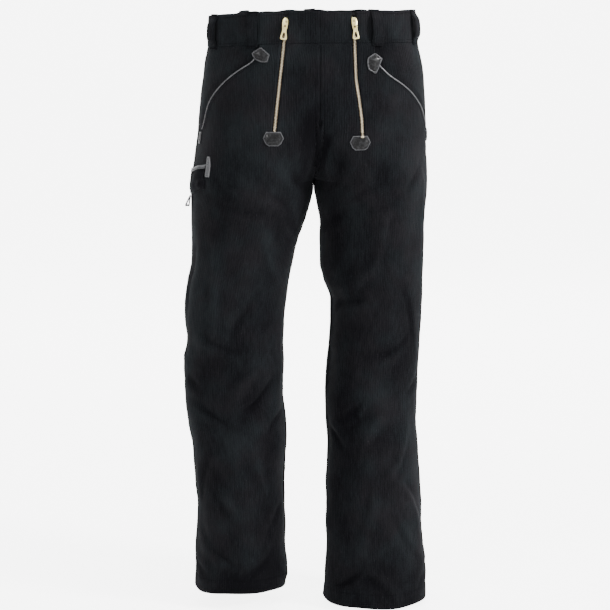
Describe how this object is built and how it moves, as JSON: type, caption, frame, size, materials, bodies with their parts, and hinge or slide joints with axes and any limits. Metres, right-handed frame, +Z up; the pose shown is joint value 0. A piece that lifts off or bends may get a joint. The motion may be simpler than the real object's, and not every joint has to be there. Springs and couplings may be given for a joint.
{
  "type": "journeyman trousers",
  "caption": "Straight corduroy work trousers with two front zips, curved leather-piped pockets, belt loops and a ruler pocket on the right thigh.",
  "frame": {"origin": "centre of the waist at mid-height of the waistband", "axes": "+Z up the garment, -Y out of its front, wearer's right is -X"},
  "size_m": [0.4446, 0.2577, 1.0825],
  "materials": {
    "corduroy": "black fine-wale corduroy",
    "zip_tape": "black woven tape",
    "leather": "grey-black smooth leather, slightly shiny",
    "brass": "light polished brass"
  },
  "bodies": {
    "trousers": {"back_left": "corduroy", "back_right": "corduroy", "belt_loop_back_left": "corduroy", "belt_loop_back_right": "corduroy", "belt_loop_center_back": "corduroy", "belt_loop_front_left": "corduroy", "belt_loop_front_right": "corduroy", "belt_loop_side_left": "corduroy", "belt_loop_side_right": "corduroy", "front_left": "corduroy", "front_right": "corduroy", "pocket_end_left": "leather", "pocket_end_right": "leather", "pocket_facing_left": "corduroy", "pocket_facing_right": "corduroy", "pocket_patch_left": "leather", "pocket_patch_right": "leather", "pocket_piping_left": "leather", "pocket_piping_right": "leather", "ruler_pocket": "corduroy", "ruler_pocket_binding": "leather", "ruler_pocket_loop": "leather", "ruler_pocket_strip": "leather", "waistband_fly_left": "corduroy", "waistband_fly_right": "corduroy", "waistband_left": "corduroy", "waistband_right": "corduroy", "zip_chain_left": "brass", "zip_chain_right": "brass", "zip_patch_left": "leather", "zip_patch_right": "leather", "zip_slider_left": "brass", "zip_slider_right": "brass", "zip_tape_left": "zip_tape", "zip_tape_right": "zip_tape"},
    "tab_right": {"pull_tab_right": "brass"},
    "tab_left": {"pull_tab_left": "brass"}
  },
  "joints": [
    {"name": "tab_right_swing", "type": "hinge", "parent": "trousers", "child": "tab_right", "pos_m": [-0.06039, -0.09786, 0.00222], "axis": [-0.9845, 0.138, 0.1086], "range_deg": [0, 160]},
    {"name": "tab_left_swing", "type": "hinge", "parent": "trousers", "child": "tab_left", "pos_m": [0.06091, -0.09742, 0.00312], "axis": [-0.9846, -0.1511, -0.0884], "range_deg": [0, 160]}
  ]
}
